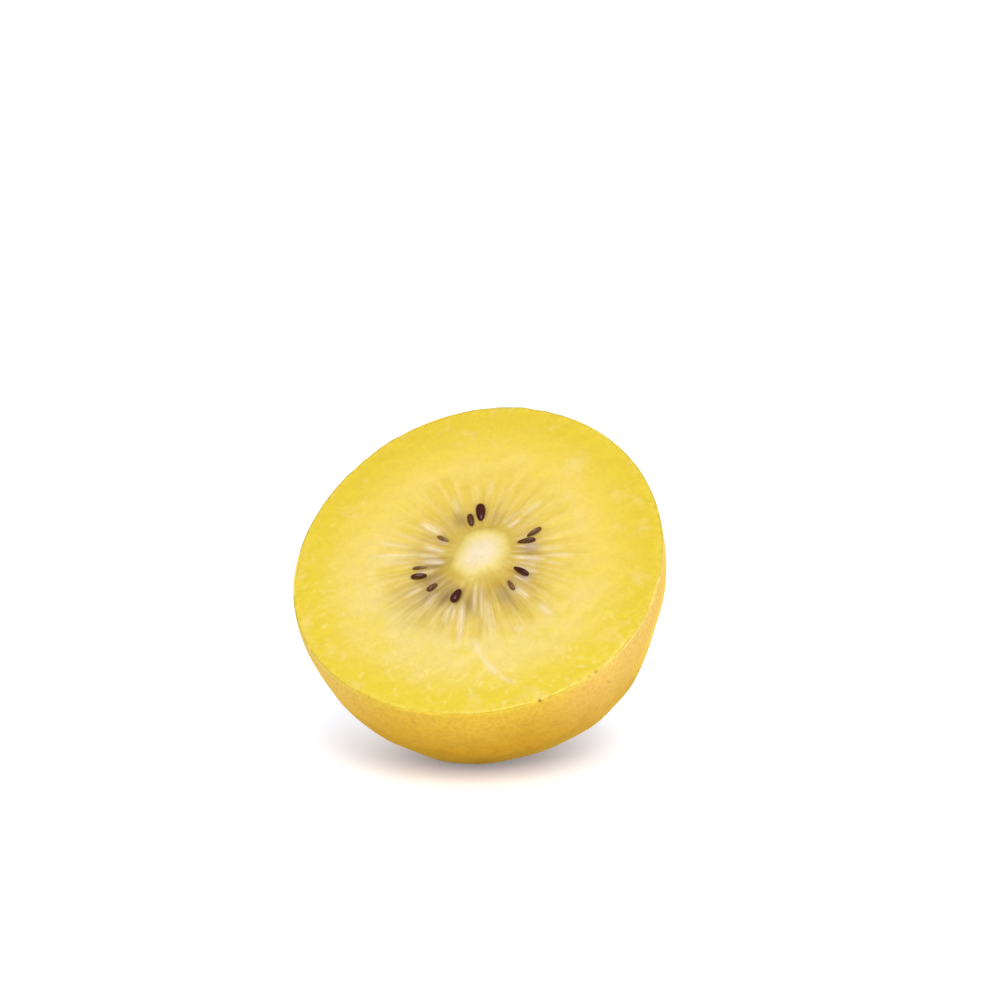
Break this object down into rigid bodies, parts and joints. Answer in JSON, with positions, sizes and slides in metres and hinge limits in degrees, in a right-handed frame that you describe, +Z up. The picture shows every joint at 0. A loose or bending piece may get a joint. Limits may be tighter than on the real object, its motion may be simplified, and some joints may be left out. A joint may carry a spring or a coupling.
{
  "type": "halved golden kiwi fruit",
  "caption": "Half of a golden kiwi fruit, cut across its middle, with a pale core, dark seeds and rays in yellow flesh and a thin bronze skin.",
  "frame": {"origin": "middle of the small flat spot that the half rests on", "axes": "+Z up; -Y is the side that the cut face is turned to, its normal rising 48.7 degrees above level; +X to the right seen from that side"},
  "size_m": [0.0542, 0.0519, 0.0497],
  "materials": {
    "flesh": "moist, translucent golden flesh with pale rays",
    "skin": "thin matt bronze-gold skin with fine pale lenticels",
    "seed": "glossy dark purple-brown seed coat",
    "stem_scar": "dry corky scar with dark dried sepals"
  },
  "bodies": {
    "root": {"kiwi_half": "flesh"}
  },
  "joints": []
}
